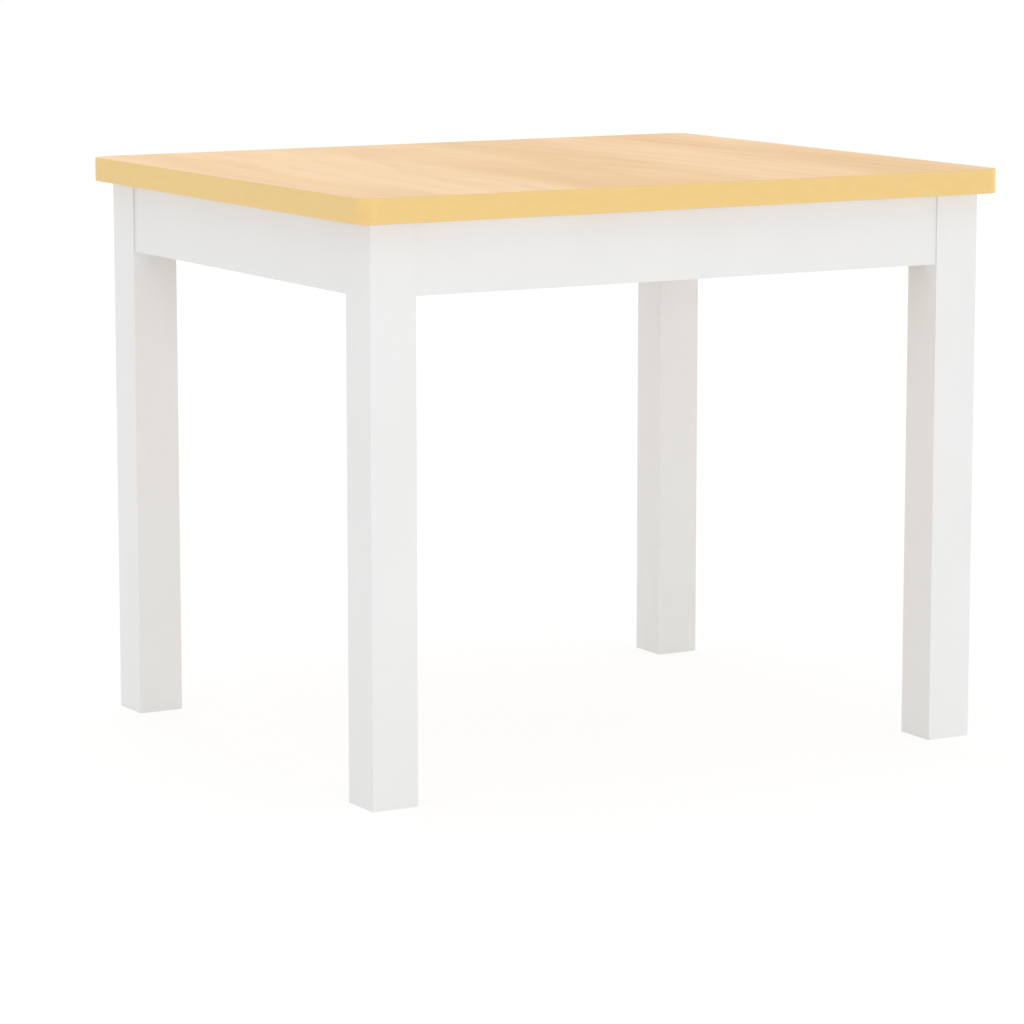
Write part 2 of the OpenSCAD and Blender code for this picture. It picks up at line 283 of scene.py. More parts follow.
def beech_decor(name, tint=None):
    """Pale beech decor, printed with the grain along Y, under a satin resin face."""
    g = Graph(name)
    along = bent_grain(g)
    broad = g.noise(g.stretched((8.0, 1.3, 1.0), (0.4, 5.2, 0.0), along), 2.0)
    blush = g.noise(g.stretched((13.0, 2.4, 1.0), (7.3, 1.1, 0.0), along), 2.0)
    cloud = g.noise(g.stretched((22.0, 5.5, 1.0), (4.0, 2.2, 0.0), along), 3.0, 0.6)
    streak = g.noise(g.stretched((85.0, 4.5, 1.0), (2.0, 0.3, 0.0), along), 5.0, 0.6)
    fibre = g.noise(g.stretched((620.0, 11.0, 1.0), (0.0, 4.0, 0.0), along), 3.0, 0.6)
    ring = growth_rings(g, along, cloud)
    fleck = ray_flecks(g, along)

    cream = (0.950, 0.674, 0.380, 1.0)
    peach = (0.856, 0.543, 0.240, 1.0)
    rose = (0.880, 0.530, 0.292, 1.0)
    brown = (0.560, 0.300, 0.140, 1.0)
    body = g.mix(g.ramp(broad, 0.30, 0.70), cream, peach)
    for amount, colour in (
        (g.ramp(blush, 0.48, 0.72, 0.0, 0.45), rose),
        (g.ramp(cloud, 0.55, 0.85, 0.0, 0.45), peach),
        (g.ramp(cloud, 0.45, 0.15, 0.0, 0.55), cream),
        (g.ramp(streak, 0.52, 0.85, 0.0, 0.24), brown),
        (g.ramp(streak, 0.48, 0.18, 0.0, 0.5), cream),
        (g.math("MULTIPLY", ring, 0.12), brown),
        (g.ramp(fibre, 0.50, 0.85, 0.0, 0.14), brown),
        (g.math("MULTIPLY", fleck, 0.20), brown),
    ):
        body = g.mix(amount, body, colour)
    # A tint multiplies the whole print; the underside's tint is painted shade for the weaker
    # light under the top, not a different decor
    if tint:
        body = g.mix(1.0, body, tint, "MULTIPLY")

    pores = g.math("ADD", g.math("MULTIPLY", fibre, 0.6), g.math("MULTIPLY", fleck, -0.8))
    pearl = g.noise(g.stretched((1500.0, 1500.0, 1500.0)), 1.0)
    normal = g.bump(pores, 0.02 * MM, 0.6)
    g.set(
        Base_Color=body,
        Roughness=g.ramp(pearl, 0.3, 0.7, 0.45, 0.55, smooth=False),
        Normal=g.bump(pearl, 0.006 * MM, 0.5, normal),
        IOR=1.5,
    )
    return g.material


def band_plastic():
    """Plain yellow-beige edging with a fine pearl emboss."""
    g = Graph("band_plastic")
    mottle = g.noise(g.stretched((60.0, 60.0, 200.0)), 3.0, 0.55)
    speck = g.noise(g.stretched((2600.0, 2600.0, 2600.0)), 1.0)
    honey = (0.776, 0.535, 0.196, 1.0)
    straw = (0.788, 0.547, 0.206, 1.0)
    amber = (0.66, 0.42, 0.14, 1.0)
    base = g.mix(g.ramp(mottle, 0.3, 0.7), honey, straw)
    base = g.mix(g.ramp(speck, 0.55, 0.8, 0.0, 0.10), base, amber)
    pearl = g.noise(g.stretched((1700.0, 1700.0, 1700.0)), 2.0)
    g.set(
        Base_Color=base,
        Roughness=g.ramp(pearl, 0.3, 0.7, 0.40, 0.50, smooth=False),
        Normal=g.bump(pearl, 0.012 * MM, 0.6),
        IOR=1.5,
    )
    return g.material


def white_paint():
    """Sprayed satin white over fibreboard, with a faint orange peel."""
    g = Graph("white_paint")
    cloud = g.noise(g.stretched((14.0, 14.0, 9.0)), 3.0)
    warm_white = (0.759, 0.759, 0.756, 1.0)
    white = (0.771, 0.772, 0.770, 1.0)
    base = g.mix(g.ramp(cloud, 0.3, 0.7), warm_white, white)
    peel = g.noise(g.stretched((430.0, 430.0, 430.0)), 2.0, 0.45)
    dust = g.noise(g.stretched((1900.0, 1900.0, 1900.0)), 1.0)
    normal = g.bump(peel, 0.035 * MM, 0.5)
    g.set(
        Base_Color=base,
        Roughness=g.ramp(cloud, 0.25, 0.75, 0.38, 0.48, smooth=False),
        Normal=g.bump(dust, 0.006 * MM, 0.5, normal),
        IOR=1.48,
    )
    return g.material


def fibreboard():
    """Raw sawn fibreboard, where a cut goes through the finish."""
    g = Graph("fibreboard")
    fibre = g.noise(g.stretched((1600.0, 1600.0, 700.0)), 4.0, 0.65)
    dark = (0.30, 0.19, 0.10, 1.0)
    light = (0.50, 0.36, 0.22, 1.0)
    base = g.mix(g.ramp(fibre, 0.3, 0.7), dark, light)
    g.set(
        Base_Color=base,
        Roughness=g.ramp(fibre, 0.3, 0.7, 0.8, 0.95, smooth=False),
        Normal=g.bump(fibre, 0.08 * MM, 0.7),
        IOR=1.45,
    )
    return g.material


def zinc_plate():
    """Bright zinc plate with a slight passivation tint and rolling marks."""
    g = Graph("zinc_plate")
    tint = g.noise(g.stretched((55.0, 55.0, 40.0)), 2.0)
    spangle = g.noise(g.stretched((480.0, 480.0, 480.0)), 3.0, 0.6)
    blue_grey = (0.62, 0.65, 0.70, 1.0)
    silver = (0.74, 0.73, 0.70, 1.0)
    base = g.mix(g.ramp(tint, 0.3, 0.7), blue_grey, silver)
    g.set(
        Base_Color=base,
        Metallic=1.0,
        Roughness=g.ramp(spangle, 0.25, 0.75, 0.30, 0.46, smooth=False),
        Normal=g.bump(spangle, 0.005 * MM, 0.4),
    )
    return g.material


BEECH = beech_decor("beech_decor")
BEECH_UNDERSIDE_SHADED = beech_decor("beech_underside_painted_shade", (0.86, 0.90, 0.98, 1.0))  # painted shade: the top's print made darker and cooler for the underside
BAND = band_plastic()
PAINT = white_paint()
RAW = fibreboard()
ZINC = zinc_plate()
PAINTED = (PAINT, RAW)  # a painted board's materials
CUT_FACE = 1  # the raw one's number among them


# ---------------------------------------------------------------------------
# Mesh tools
# ---------------------------------------------------------------------------
def piece(name, bm, materials, node):
    """Makes a bmesh into a piece of the table that stands for a CAD node."""
    bmesh.ops.recalc_face_normals(bm, faces=bm.faces)
    for face in bm.faces:
        face.smooth = True
    for edge in bm.edges:
        edge.smooth = edge.calc_face_angle(math.pi) < SMOOTH_ANGLE
    mesh = bpy.data.meshes.new(name)
    bm.to_mesh(mesh)
    bm.free()
    for material in materials:
        mesh.materials.append(material)
    made = bpy.data.objects.new(name, mesh)
    bpy.context.scene.collection.objects.link(made)
    made.modifiers.new("even_shading", "WEIGHTED_NORMAL").keep_sharp = True
    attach(made, "root")
    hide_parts(node)


def bridge(bm, one, two):
    """The faces between two rings of equal counts."""
    count = len(one)
    for i in range(count):
        j = (i + 1) % count
        bm.faces.new((one[i], one[j], two[j], two[i]))


def prism(outline, z0, z1):
    """A closed solid over a 2-D outline."""
    bm = bmesh.new()
    low = [bm.verts.new((x, y, z0)) for x, y in outline]
    high = [bm.verts.new((x, y, z1)) for x, y in outline]
    bm.faces.new(reversed(low))
    bm.faces.new(high)
    bridge(bm, low, high)
    return bm


def block(lo, hi):
    """A box between two corners."""
    return prism([(lo.x, lo.y), (hi.x, lo.y), (hi.x, hi.y), (lo.x, hi.y)], lo.z, hi.z)


def ease(bm, width, segments, edges=None):
    """Rounds the given edges, or else every sharp one."""
    if edges is None:
        edges = [e for e in bm.edges if e.calc_face_angle(0.0) > SMOOTH_ANGLE]
    bmesh.ops.bevel(
        bm,
        geom=edges,
        offset=width,
        offset_type="OFFSET",
        segments=segments,
        profile=0.5,
        affect="EDGES",
        clamp_overlap=True,
    )
    return bm


def joined(parts):
    """One bmesh of several (bmesh, matrix) pairs, which stay as they are."""
    out = bmesh.new()
    for part, matrix in parts:
        mesh = bpy.data.meshes.new("part")
        part.to_mesh(mesh)
        mesh.transform(matrix)
        if matrix.determinant() < 0:
            mesh.flip_normals()
        out.from_mesh(mesh)
        bpy.data.meshes.remove(mesh)
    return out


def combined(body, tool, operation="DIFFERENCE", tool_material=0):
    """A boolean of two bmeshes; the tool's faces bring their own material number."""
    for face in tool.faces:
        face.material_index = tool_material
    objects = []
    for name, bm in (("body", body), ("tool", tool)):
        bmesh.ops.recalc_face_normals(bm, faces=bm.faces)
        mesh = bpy.data.meshes.new(name)
        bm.to_mesh(mesh)
        bm.free()
        for material in PAINTED:
            mesh.materials.append(material)
        obj = bpy.data.objects.new(name, mesh)
        bpy.context.scene.collection.objects.link(obj)
        objects.append(obj)
    cut = objects[0].modifiers.new("cut", "BOOLEAN")
    cut.operation = operation
    cut.solver = "EXACT"
    cut.object = objects[1]
    graph = bpy.context.evaluated_depsgraph_get()
    done = bpy.data.meshes.new_from_object(objects[0].evaluated_get(graph), depsgraph=graph)
    out = bmesh.new()
    out.from_mesh(done)
    for obj in objects:
        bpy.data.meshes.remove(obj.data)
    bpy.data.meshes.remove(done)
    return out


def circle(radius, z, steps=THREAD_STEPS):
    """Points round the Z axis."""
    turns = [2 * math.pi * i / steps for i in range(steps)]
    return [(radius * math.cos(a), radius * math.sin(a), z) for a in turns]


def lathe(profile, steps, closed=False):
    """Turns (radius, height) points round Z. A radius of 0 is a point on the axis."""
    bm = bmesh.new()
    rings = []
    for r, z in profile:
        points = circle(r, z, steps) if r > TINY else [(0, 0, z)]
        rings.append([bm.verts.new(p) for p in points])
    pairs = list(zip(rings, rings[1:]))
    if closed:
        pairs.append((rings[-1], rings[0]))
    for one, two in pairs:
        for i in range(steps):
            j = (i + 1) % steps
            four = [one[i % len(one)], one[j % len(one)], two[j % len(two)], two[i % len(two)]]
            corners = list(dict.fromkeys(four))
            if len(corners) > 2:
                bm.faces.new(corners)
    return bm


def rod(radius, z0, z1, steps=32):
    """A plain round bar along Z."""
    return lathe([(0, z0), (radius, z0), (radius, z1), (0, z1)], steps)


def aimed(point, direction, turn=0.0):
    """Puts a shape's +Z along a direction, at a point, without mirroring it."""
    turned = Vector(direction).to_track_quat("Z", "Y").to_matrix().to_4x4()
    return Matrix.Translation(point) @ turned @ Matrix.Rotation(turn, 4, "Z")


def arc(centre, radius, start, end, steps):
    """Points of an arc between two angles."""
    angles = [start + (end - start) * i / steps for i in range(steps + 1)]
    x, y = centre
    return [(x + radius * math.cos(a), y + radius * math.sin(a)) for a in angles]


def round_rectangle(lo, hi, radius):
    """The outline of a rectangle with round corners, anticlockwise from the front right."""
    x0, x1 = lo.x + radius, hi.x - radius
    y0, y1 = lo.y + radius, hi.y - radius
    points = []
    for k, centre in enumerate([(x1, y0), (x1, y1), (x0, y1), (x0, y0)]):
        start = math.pi / 2 * (k - 1)
        points += arc(centre, radius, start, start + math.pi / 2, CORNER_STEPS)
    return points


def filleted(points, radii, steps=8):
    """A polyline with an arc of the given radius at each inner point."""
    out = [Vector(points[0])]
    for before, at, after, radius in zip(points, points[1:], points[2:], radii):
        before, at, after = Vector(before), Vector(at), Vector(after)
        a = (before - at).normalized()
        b = (after - at).normalized()
        half = a.angle(b) / 2
        reach = radius / math.tan(half)
        centre = at + (a + b).normalized() * (radius / math.sin(half))
        start = at + a * reach - centre
        turn = math.pi - 2 * half
        side = 1 if a.x * b.y - a.y * b.x < 0 else -1
        for i in range(steps + 1):
            out.append(centre + Matrix.Rotation(side * turn * i / steps, 2) @ start)
    out.append(Vector(points[-1]))
    return out


def strip_outline(middle, thickness):
    """Both sides of a bent strip, from its middle line."""
    left, right = [], []
    for i, point in enumerate(middle):
        a = (point - middle[i - 1]).normalized() if i else None
        b = (middle[i + 1] - point).normalized() if i + 1 < len(middle) else None
        way = (a or b) + (b or a)
        way.normalize()
        normal = Vector((-way.y, way.x))
        stretch = 1 / max(0.2, way.dot(b or a))
        left.append(point + normal * (thickness / 2 * stretch))
        right.append(point - normal * (thickness / 2 * stretch))
    return [tuple(p) for p in left + right[::-1]]


# ---------------------------------------------------------------------------
# Joints: the corners, with a frame of their own at each leg's inner corner, and
# the angles under the top
# ---------------------------------------------------------------------------
def corner_matrix(end, side):
    """From a corner's own frame, X and Y along the aprons, to the table's."""
    sx, sy = -SIDES[side], -ENDS[end]
    moved = Matrix.Translation((-sx * INNER_X, -sy * INNER_Y, 0))
    return moved @ Matrix.Diagonal((sx, sy, 1, 1))


def in_table(matrix, point, direction):
    """A corner's point and direction, in the table's frame."""
    return matrix @ point, (matrix.to_3x3() @ direction).normalized()


def on_diagonal(s):
    """The point of the bolt's axis that is s away from the leg's inner corner."""
    return DIAGONAL * s + Vector((0, 0, JOINT_Z))


def wing_holes():
    """Each hole of a corner plate's wings on the apron's face: (point, way out)."""
    out = []
    for dz in (-HOLE_DZ, HOLE_DZ):
        out.append((Vector((WING_MID, FACE, JOINT_Z + dz)), Vector((0, 1, 0))))
        out.append((Vector((FACE, WING_MID, JOINT_Z + dz)), Vector((1, 0, 0))))
    return out


def bracket_places():
    """Each angle: its node, its apron's name, its place on it and the way in."""
    lo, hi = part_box("top_bracket_front_right")
    middle = (lo.x + hi.x) / 2
    inner_x = -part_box("apron_left")[1].x
    inner_y = -apron_hi.y
    out = []
    for end, side in CORNERS:
        at = Vector((SIDES[side] * middle, ENDS[end] * inner_y, LEG_TOP))
        out.append((f"top_bracket_{end}_{side}", end, at, Vector((0, -ENDS[end], 0))))
    for side, sx in SIDES.items():
        at = Vector((sx * inner_x, 0, LEG_TOP))
        out.append((f"top_bracket_{side}", side, at, Vector((-sx, 0, 0))))
    return out


BRACKETS = bracket_places()


# ---------------------------------------------------------------------------
# The top
# ---------------------------------------------------------------------------
def laminate_sheet(node, lo, hi, face_z, material):
    """A sheet with a fine chamfer along the rim of its outer face."""
    bm = prism(round_rectangle(lo, hi, TOP_RADIUS - BAND_T), lo.z, hi.z)
    rim = [
        e
        for e in bm.edges
        if all(abs(v.co.z - face_z) < TINY for v in e.verts)
        and e.calc_face_angle(0.0) > SMOOTH_ANGLE
    ]
    ease(bm, JOINT_LINE, 1, rim)
    piece(node + "_sheet", bm, [material], node)


def band_section():
    """The band's section, as (way out, height) points from its lower inner edge."""
    r = BAND_ROUND
    height = band_hi.z - band_lo.z
    section = [(0, JOINT_LINE), (JOINT_LINE, 0)]
    section += arc((BAND_T - r, r), r, -math.pi / 2, 0, BAND_ROUND_STEPS)
    section += arc((BAND_T - r, height - r), r, 0, math.pi / 2, BAND_ROUND_STEPS)
    section += [(JOINT_LINE, height), (0, height - JOINT_LINE)]
    return section


def band_path():
    """The board's rim from the rear's middle round to it again: (point, way out)."""
    inner = round_rectangle(sheet_lo, sheet_hi, TOP_RADIUS - BAND_T)
    outer = round_rectangle(band_lo, band_hi, TOP_RADIUS)
    path = [(Vector(a), (Vector(b) - Vector(a)).normalized()) for a, b in zip(inner, outer)]
    # The outline starts at the front right: its two right corners come last
    right = 2 * (CORNER_STEPS + 1)
    back = Vector((0, 1))
    start = (Vector((-BAND_GAP / 2, sheet_hi.y)), back)
    end = (Vector((BAND_GAP / 2, sheet_hi.y)), back)
    return [start, *path[right:], *path[:right], end]


def edge_band():
    """The band: its section swept round the board, its ends butted at the rear."""
    section = band_section()
    bm = bmesh.new()
    rings = [
        [bm.verts.new((*(at + out * n), band_lo.z + z)) for n, z in section]
        for at, out in band_path()
    ]
    for one, two in zip(rings, rings[1:]):
        bridge(bm, one, two)
    ends = [bm.faces.new(rings[0]), bm.faces.new(reversed(rings[-1]))]
    ease(bm, BAND_END_EASE, 1, [e for f in ends for e in f.edges])
    piece("edge_band_strip", bm, [BAND], "edge_band")


# ---------------------------------------------------------------------------
# Legs and aprons
# ---------------------------------------------------------------------------
def board(node):
    """A whole board with rounded edges, before its cuts."""
    return ease(block(*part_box(node)), BOARD_EASE, BOARD_EASE_STEPS)


def leg(end, side):
    """A leg with the milled flat and the bolt's bore on its inner corner."""
    node = f"leg_{end}_{side}"
    matrix = corner_matrix(end, side)
    cut = LEG_FLAT * math.sqrt(2)
    outline = [(-cut, 0), (0, -cut), (OVER, -cut), (OVER, OVER), (-cut, OVER)]
    wedge = prism(outline, LEG_TOP - LEG_FLAT_H, LEG_TOP + OVER)
    body = combined(board(node), joined([(wedge, matrix)]), tool_material=CUT_FACE)
    depth = BOLT_IN_LEG + BORE_SPARE
    at, way = in_table(matrix, on_diagonal(-LEG_FLAT - depth), DIAGONAL)
    bore = rod(BOLT_R + FIT_GAP, 0, depth + 2 * OVER)
    body = combined(body, joined([(bore, aimed(at, way))]), tool_material=CUT_FACE)
    piece(node + "_painted", body, PAINTED, node)


def pilot(length):
    """The hole round a wood screw, below z = 0."""
    return rod(SCREW_R + FIT_GAP, -length - FIT_GAP, OVER, 24)


def kerf(along_x, z0, z1):
    """The saw cut for a corner plate's lip, in the corner's own frame."""
    start = WING_END - PLATE_T
    low = Vector((start, FACE - KERF_DEPTH, z0 - OVER))
    high = Vector((start + KERF_W, FACE + OVER, z1 + OVER))
    return block(low, high) if along_x else block(low.yxz, high.yxz)


def apron(name):
    """An apron with its saw cuts and screw holes on the inner face."""
    node = "apron_" + name
    lo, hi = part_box(node)
    along_x = name in ENDS
    cutters = []
    for end, side in CORNERS:
        if name not in (end, side):
            continue
        matrix = corner_matrix(end, side)
        cutters.append((kerf(along_x, lo.z, hi.z), matrix))
        for point, way in wing_holes():
            if (abs(way.y) > 0.5) == along_x:
                at, out = in_table(matrix, point, way)
                cutters.append((pilot(APRON_SCREW - PLATE_T), aimed(at, out)))
    for _, on_apron, at, way in BRACKETS:
        if on_apron == name:
            hole = at + DOWN * BRACKET_HOLE
            cutters.append((pilot(APRON_SCREW - BRACKET_T), aimed(hole, way)))
    body = combined(board(node), joined(cutters), tool_material=CUT_FACE)
    piece(node + "_painted", body, PAINTED, node)


# ---------------------------------------------------------------------------
# Bent steel
# ---------------------------------------------------------------------------
def corner_plate(end, side):
    """A bent strip: a panel across the corner, and a wing and a lip at each apron."""
    node = f"corner_plate_{end}_{side}"
    half = PLATE_T / 2
    lip = (WING_END - half, FACE - LIP_DEPTH)
    bend = (WING_END - half, FACE + half)
    panel = ((PLATE_S + half) * math.sqrt(2) - FACE - half, FACE + half)
    points = [lip, bend, panel] + [p[::-1] for p in (panel, bend, lip)]
    middle = filleted(points, [LIP_BEND, PLATE_BEND, PLATE_BEND, LIP_BEND])
    body = prism(strip_outline(middle, PLATE_T), plate_lo.z, plate_hi.z)
    bolt_hole = rod(BOLT_R + STEEL_HOLE_GAP, 0, PLATE_T + 2 * OVER, 48)
    cutters = [(bolt_hole, aimed(on_diagonal(PLATE_S - OVER), DIAGONAL))]
    for point, way in wing_holes():
        hole = rod(SCREW_R + STEEL_HOLE_GAP, -OVER, PLATE_T + OVER)
        cutters.append((hole, aimed(point, way)))
    body = ease(combined(body, joined(cutters)), METAL_EASE, METAL_EASE_STEPS)
    placed = joined([(body, corner_matrix(end, side))])
    piece(node + "_steel", placed, [ZINC], node)


def at_arm_end(edge):
    """If an angle's edge goes through the steel at the free end of an arm."""
    a, b = (v.co for v in edge.verts)
    if abs(a.x - b.x) > TINY or abs(edge.calc_length() - BRACKET_T) > TINY:
        return False
    return min(a.z, b.z) < TINY - BRACKET_ARM or max(a.y, b.y) > BRACKET_ARM - TINY


def angle_shape():
    """One angle, X along the apron, Y away from it, its top face at z = 0."""
    half = BRACKET_T / 2
    middle = [(half, -BRACKET_ARM), (half, -half), (BRACKET_ARM, -half)]
    outline = strip_outline(filleted(middle, [BRACKET_BEND]), BRACKET_T)
    body = prism(outline, -BRACKET_W / 2, BRACKET_W / 2)
    # The prism runs along Z over an outline in (y, z): turn it to run along X
    body = joined([(body, Matrix(((0, 0, 1, 0), (1, 0, 0, 0), (0, 1, 0, 0), (0, 0, 0, 1))))])
    ease(body, BRACKET_TIP, BRACKET_TIP_STEPS, [e for e in body.edges if at_arm_end(e)])
    hole = rod(SCREW_R + STEEL_HOLE_GAP, -OVER, BRACKET_T + OVER)
    cutters = [
        (hole, aimed(Vector((0, 0, -BRACKET_HOLE)), Vector((0, 1, 0)))),
        (hole, aimed(Vector((0, BRACKET_HOLE, 0)), DOWN)),
    ]
    return ease(combined(body, joined(cutters)), METAL_EASE, METAL_EASE_STEPS)


def top_brackets():
    """The six angles, each turned to its apron."""
    shape = angle_shape()
    for node, _, at, way in BRACKETS:
        turn = math.atan2(way.y, way.x) - math.pi / 2
        matrix = Matrix.Translation(at) @ Matrix.Rotation(turn, 4, "Z")
        piece(node + "_steel", joined([(shape, matrix)]), [ZINC], node)


# ---------------------------------------------------------------------------
# Screws, bolts, washers and nuts
# ---------------------------------------------------------------------------
def thread_rings(z0, z1, pitch, crest, root, per_turn, taper):
    """Rings of a right-hand thread from z0 up to z1, as lists of points.

    per_turn is the number of rings in a turn; taper gives the thickness at a height.
    """
    rings = []
    count = max(2, round((z1 - z0) / pitch * per_turn))
    for k in range(count + 1):
        z = z0 + (z1 - z0) * k / count
        ring = []
        for i in range(THREAD_STEPS):
            a = 2 * math.pi * i / THREAD_STEPS
            u = (z / pitch - i / THREAD_STEPS) % 1.0
            rise = max(0.0, 1 - abs(2 * u - 1) * THREAD_ROOT_FLAT)
            r = (root + (crest - root) * min(1.0, rise * THREAD_CREST_FLAT)) * taper(z)
            ring.append((r * math.cos(a), r * math.sin(a), z))
        rings.append(ring)
    return rings


def skin(rings, z_start, z_end):
    """A closed solid through rings of equal counts, with a point at each end."""
    bm = bmesh.new()
    made = [[bm.verts.new(p) for p in ring] for ring in rings]
    for one, two in zip(made, made[1:]):
        bridge(bm, one, two)
    for ring, z in ((made[0], z_start), (made[-1], z_end)):
        tip = bm.verts.new((0, 0, z))
        for i, vertex in enumerate(ring):
            bm.faces.new((vertex, ring[(i + 1) % len(ring)], tip))
    return bm


def cross_recess():
    """A cross-head driver's shape, point down, to be taken out of a head."""
    # Half a blade's length, half its width, and the height, at its two ends
    top = (2.05 * MM, 0.48 * MM, 0.42 * MM)
    tip = (0.75 * MM, 0.30 * MM, -1.75 * MM)
    square = [(-1, -1), (1, -1), (1, 1), (-1, 1)]
    blades = []
    for turn in (0, math.pi / 2):
        bm = bmesh.new()
        upper, lower = (
            [bm.verts.new((x * half_l, y * half_w, z)) for x, y in square]
            for half_l, half_w, z in (top, tip)
        )
        bm.faces.new(upper)
        bm.faces.new(reversed(lower))
        bridge(bm, lower, upper)
        blades.append((bm, Matrix.Rotation(turn, 4, "Z")))
    return combined(joined(blades[:1]), joined(blades[1:]), "UNION")


def pan_head():
    """A pan head's rings, from its underside up to its flat crown."""
    rounding = 0.15 * MM
    rim = SCREW_HEAD_H * 0.45
    crown = 0.45  # the flat's radius, as a share of the head's
    steps = 9
    profile = [(SCREW_HEAD_R - rounding, 0.0), (SCREW_HEAD_R, rounding)]
    for i in range(steps):
        a = math.pi / 2 * i / steps
        r = SCREW_HEAD_R * (crown + (1 - crown) * math.cos(a))
        profile.append((r, rim + (SCREW_HEAD_H - rim) * math.sin(a)))
    return [circle(r, z) for r, z in profile]


def wood_screw(length):
    """A pan-head cross-slot wood screw: the head on z = 0, the point below."""
    root = SCREW_R * 0.68
    fade = 0.1 * MM  # from the thread to the plain neck

    def taper(z):
        return min(1.0, 0.12 + 0.88 * (z + length) / SCREW_POINT)

    rings = thread_rings(-length, -SCREW_NECK, SCREW_PITCH, SCREW_R, root, 7, taper)
    rings.append(circle(root, fade - SCREW_NECK))
    rings.append(circle(root, 0.0))
    rings += pan_head()
    recess = joined([(cross_recess(), Matrix.Translation((0, 0, SCREW_HEAD_H)))])
    return combined(skin(rings, -length, SCREW_HEAD_H), recess)


def hanger_bolt():
    """Wood thread with a point, a short neck, then machine thread: z = 0 is the point."""
    wood_end = BOLT_IN_LEG - 1.0 * MM
    nut_start = wood_end + 2.5 * MM
    fade = 0.3 * MM  # from each thread to the plain neck
    neck_r = BOLT_R * 0.84

    def taper(z):
        return min(1.0, 0.15 + 0.85 * z / BOLT_POINT)

    def runout(z):
        end_bevel = 1.0 * MM
        return 1.0 - 0.18 * max(0.0, (z - (BOLT_LENGTH - end_bevel)) / end_bevel)

    rings = thread_rings(0, wood_end, WOOD_PITCH, BOLT_R, BOLT_R * 0.7, 10, taper)
    rings.append(circle(neck_r, wood_end + fade))
    rings.append(circle(neck_r, nut_start - fade))
    machine_root = BOLT_R * 0.82
    rings += thread_rings(nut_start, BOLT_LENGTH, NUT_PITCH, BOLT_R, machine_root, 8, runout)
    return skin(rings, 0.0, BOLT_LENGTH)


def hex_nut():
    """A nut with both ends turned off at 30 degrees and a countersunk bore."""
    steps = 96
    corner = NUT_FLATS / 2 / math.cos(math.pi / 6)
    hexagon = [point[:2] for point in circle(corner, 0, 6)]
    chamfer = (corner - NUT_FLATS / 2) * 1.25  # it reaches a little into the flats
    drop = chamfer * math.tan(math.pi / 6)
    outside = corner + 0.02 * MM  # clear of the corners
    turned = lathe(
        [
            (0, 0),
            (corner - chamfer, 0),
            (outside, drop),
            (outside, NUT_H - drop),
            (corner - chamfer, NUT_H),
            (0, NUT_H),
        ],
        steps,
    )
    # Half a step's turn, so that none of its lines meets a corner or the bore's lines
    turned = joined([(turned, Matrix.Rotation(math.pi / steps, 4, "Z"))])
    body = combined(prism(hexagon, -OVER, NUT_H + OVER), turned, "INTERSECT")
    bore = BOLT_R + FIT_GAP
    wide = bore + NUT_MOUTH + OVER
    hole = lathe(
        [
            (0, -OVER),
            (wide, -OVER),
            (bore, NUT_MOUTH),
            (bore, NUT_H - NUT_MOUTH),
            (wide, NUT_H + OVER),
            (0, NUT_H + OVER),
        ],
        48,
    )
    return combined(body, hole)


def washer_section(outer, height, bevel):
    """A washer's section with its corners taken off, as (radius, height) points."""
    r0, r1, h, e = WASHER_HOLE_R, outer, height, bevel
    lower = [(r0, e), (r0 + e, 0), (r1 - e, 0), (r1, e)]
    upper = [(r1, h - e), (r1 - e, h), (r0 + e, h), (r0, h - e)]
    return lower + upper


def flat_washer():
    """A plain ring, its lower face on z = 0."""
    return lathe(washer_section(WASHER_R, WASHER_T, 0.15 * MM), 64, closed=True)


def spring_washer():
    """A ring of square wire, cut across on a slant."""
    section = washer_section(SPRING_R, SPRING_T, 0.12 * MM)
    steps, gap, slant = 72, math.radians(7), math.radians(14)
    bm = bmesh.new()
    rings = []
    for k in range(steps + 1):
        ring = []
        for r, z in section:
            lean = slant * (z / SPRING_T - 0.5)
            a = gap + (2 * math.pi - 2 * gap) * k / steps + lean
            ring.append(bm.verts.new((r * math.cos(a), r * math.sin(a), z)))
        rings.append(ring)
    for one, two in zip(rings, rings[1:]):
        bridge(bm, one, two)
    bm.faces.new(rings[0])
    bm.faces.new(reversed(rings[-1]))
    return bm


def at_corners(shape, s, turns):
    """One copy of a shape on each corner's diagonal, its +Z away from the leg."""
    out = []
    for (end, side), turn in zip(CORNERS, turns):
        at, way = in_table(corner_matrix(end, side), on_diagonal(s), DIAGONAL)
        out.append((shape, aimed(at, way, math.radians(turn))))
    return joined(out)


def bolts_and_nuts():
    """The four bolts with their washers and nuts, each kind as one piece."""
    washer_s = PLATE_S + PLATE_T
    spring_s = washer_s + WASHER_T
    nut_s = spring_s + SPRING_T
    # (node, shape, place on the diagonal, each corner's turn in degrees)
    kinds = [
        ("hanger_bolts", hanger_bolt(), -LEG_FLAT - BOLT_IN_LEG, (0, 90, 200, 310)),
        ("flat_washers", flat_washer(), washer_s, (0, 0, 0, 0)),
        ("spring_washers", spring_washer(), spring_s, (20, 135, 250, 80)),
        ("hex_nuts", hex_nut(), nut_s, (8, 41, 22, 53)),
    ]
    for node, shape, s, turns in kinds:
        piece(node + "_zinc", at_corners(shape, s, turns), [ZINC], node)


def screws(placed, shape, node):
    """The same screw at several places, each turned to its own angle."""
    parts = [
        (shape, aimed(at, way, math.radians(47 * k % 90)))
        for k, (at, way) in enumerate(placed)
    ]
    piece(node + "_zinc", joined(parts), [ZINC], node)


